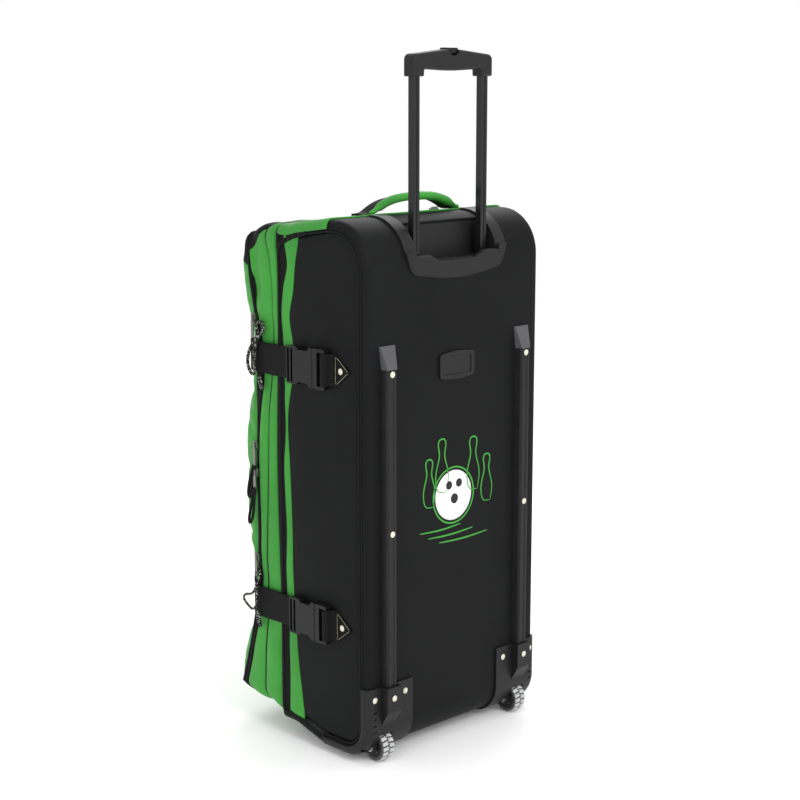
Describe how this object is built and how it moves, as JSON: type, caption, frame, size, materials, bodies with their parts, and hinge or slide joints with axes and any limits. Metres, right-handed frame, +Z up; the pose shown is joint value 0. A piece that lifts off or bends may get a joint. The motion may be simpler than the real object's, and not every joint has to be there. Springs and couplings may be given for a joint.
{
  "type": "wheeled bowling ball bag",
  "caption": "Tall soft wheeled ball bag with telescopic pull handle, corner wheels, back rails, book-opening lid, front pocket and buckled straps.",
  "frame": {"origin": "on the floor, under the middle of the box around the bag with its pull handle out", "axes": "+Z up, +Y towards the pull handle and wheels, +X towards the buckle side"},
  "size_m": [0.3961, 0.3444, 1.089],
  "materials": {
    "black_fabric": "smooth black coated polyester, matte",
    "green_fabric": "green woven nylon, soft sheen",
    "webbing": "black woven nylon webbing",
    "zip_tape": "black coil zip tape",
    "lining": "dark grey lining cloth",
    "moulded_plastic": "fine-grained dark grey moulded plastic",
    "rail_plastic": "extruded dark grey plastic rail",
    "stiffener": "plain PE board",
    "tube_black": "black anodised drawn tube, satin",
    "steel": "zinc-plated steel",
    "rivet": "pale ivory lacquered rivet head",
    "tyre": "pale translucent polyurethane with block tread",
    "hub": "black moulded hub",
    "slider_metal": "gunmetal lacquered zip slider"
  },
  "bodies": {
    "case": {"anchor_straps": "webbing", "back_board": "stiffener", "back_panel": "black_fabric", "back_rivets": "rivet", "base_board": "stiffener", "bottom_panel": "black_fabric", "buckle_plug_lower": "moulded_plastic", "buckle_plug_upper": "moulded_plastic", "corner_guard_left": "moulded_plastic", "corner_guard_right": "moulded_plastic", "edge_piping": "black_fabric", "front_feet": "moulded_plastic", "handle_tabs": "green_fabric", "handle_tray": "moulded_plastic", "hinge_strip": "black_fabric", "id_plate": "moulded_plastic", "lining_panel": "lining", "outer_tubes": "tube_black", "rail_caps": "moulded_plastic", "rail_left": "rail_plastic", "rail_right": "rail_plastic", "side_bands": "green_fabric", "side_panel_left": "black_fabric", "side_panel_right": "black_fabric", "strap_rivets": "rivet", "top_panel": "green_fabric", "tube_feet": "moulded_plastic", "wheel_axles": "steel", "zip_tape_case": "zip_tape"},
    "lid": {"lid_gusset": "green_fabric", "lid_lining": "lining", "zip_tape_lid": "zip_tape", "pocket_zip_tape": "zip_tape"},
    "flap": {"pocket_flap": "green_fabric", "front_strap_lower": "webbing", "front_strap_upper": "webbing", "buckle_socket_lower": "moulded_plastic", "buckle_socket_upper": "moulded_plastic"},
    "trolley": {"inner_tubes": "tube_black", "tube_plugs": "moulded_plastic", "grip": "moulded_plastic"},
    "button": {"grip_button": "moulded_plastic", "push_rods": "steel"},
    "wheel_left": {"tyre_left": "tyre", "wheel_hub_left": "hub", "bearings_left": "steel"},
    "wheel_right": {"tyre_right": "tyre", "wheel_hub_right": "hub", "bearings_right": "steel"},
    "carry_handle": {"handle_band": "black_fabric", "handle_roll": "green_fabric"},
    "main_slider": {"main_zip_slider": "slider_metal"},
    "pocket_slide_1": {"pocket_slider_1": "slider_metal"},
    "pocket_slide_2": {"pocket_slider_2": "slider_metal"},
    "pocket_slide_3": {"pocket_slider_3": "slider_metal"},
    "pocket_slide_4": {"pocket_slider_4": "slider_metal"},
    "prong_lower_a": {"prong_lower_a": "moulded_plastic"},
    "prong_lower_b": {"prong_lower_b": "moulded_plastic"},
    "prong_upper_a": {"prong_upper_a": "moulded_plastic"},
    "prong_upper_b": {"prong_upper_b": "moulded_plastic"}
  },
  "joints": [
    {"name": "pull_handle", "type": "slide", "parent": "case", "child": "trolley", "axis": [0, 0, 1], "range_m": [-0.268, 0]},
    {"name": "release_button", "type": "slide", "parent": "trolley", "child": "button", "axis": [0, 0, -1], "range_m": [0, 0.005], "stiffness_N_per_m": 600, "springref_m": -0.003},
    {"name": "wheel_left_spin", "type": "hinge", "parent": "case", "child": "wheel_left", "pos_m": [0.151, 0.1362, 0.025], "axis": [1, 0, 0], "continuous": true},
    {"name": "wheel_right_spin", "type": "hinge", "parent": "case", "child": "wheel_right", "pos_m": [-0.151, 0.1362, 0.025], "axis": [1, 0, 0], "continuous": true},
    {"name": "lid_open", "type": "hinge", "parent": "case", "child": "lid", "pos_m": [-0.19, -0.04575, 0.43], "axis": [0, 0, -1], "range_deg": [0, 100]},
    {"name": "flap_open", "type": "hinge", "parent": "lid", "child": "flap", "pos_m": [-0.19, -0.104, 0.43], "axis": [0, 0, -1], "range_deg": [0, 100]},
    {"name": "carry_handle_tip", "type": "hinge", "parent": "case", "child": "carry_handle", "pos_m": [0, 0.044, 0.8385], "axis": [1, 0, 0], "range_deg": [-18, 28]},
    {"name": "main_zip_run", "type": "slide", "parent": "case", "child": "main_slider", "axis": [1, 0, 0], "range_m": [0, 0.3]},
    {"name": "pocket_zip_1", "type": "slide", "parent": "lid", "child": "pocket_slide_1", "axis": [0, 0, 1], "range_m": [0, 0.105]},
    {"name": "pocket_zip_2", "type": "slide", "parent": "lid", "child": "pocket_slide_2", "axis": [0, 0, 1], "range_m": [0, 0.1]},
    {"name": "pocket_zip_3", "type": "slide", "parent": "lid", "child": "pocket_slide_3", "axis": [0, 0, -1], "range_m": [0, 0.06]},
    {"name": "pocket_zip_4", "type": "slide", "parent": "lid", "child": "pocket_slide_4", "axis": [0, 0, 1], "range_m": [0, 0.038]},
    {"name": "squeeze_lower_a", "type": "hinge", "parent": "case", "child": "prong_lower_a", "pos_m": [0.1986, 0.05, 0.1963], "axis": [-1, 0, 0], "range_deg": [0, 6], "stiffness_Nm_per_rad": 0.6},
    {"name": "squeeze_lower_b", "type": "hinge", "parent": "case", "child": "prong_lower_b", "pos_m": [0.1986, 0.05, 0.2303], "axis": [1, 0, 0], "range_deg": [0, 6], "stiffness_Nm_per_rad": 0.6},
    {"name": "squeeze_upper_a", "type": "hinge", "parent": "case", "child": "prong_upper_a", "pos_m": [0.1986, 0.05, 0.5966], "axis": [-1, 0, 0], "range_deg": [0, 6], "stiffness_Nm_per_rad": 0.6},
    {"name": "squeeze_upper_b", "type": "hinge", "parent": "case", "child": "prong_upper_b", "pos_m": [0.1986, 0.05, 0.6306], "axis": [1, 0, 0], "range_deg": [0, 6], "stiffness_Nm_per_rad": 0.6}
  ],
  "couplings": [
    {"joint": "squeeze_lower_b", "follows": "squeeze_lower_a", "ratio": 1},
    {"joint": "squeeze_upper_b", "follows": "squeeze_upper_a", "ratio": 1}
  ]
}
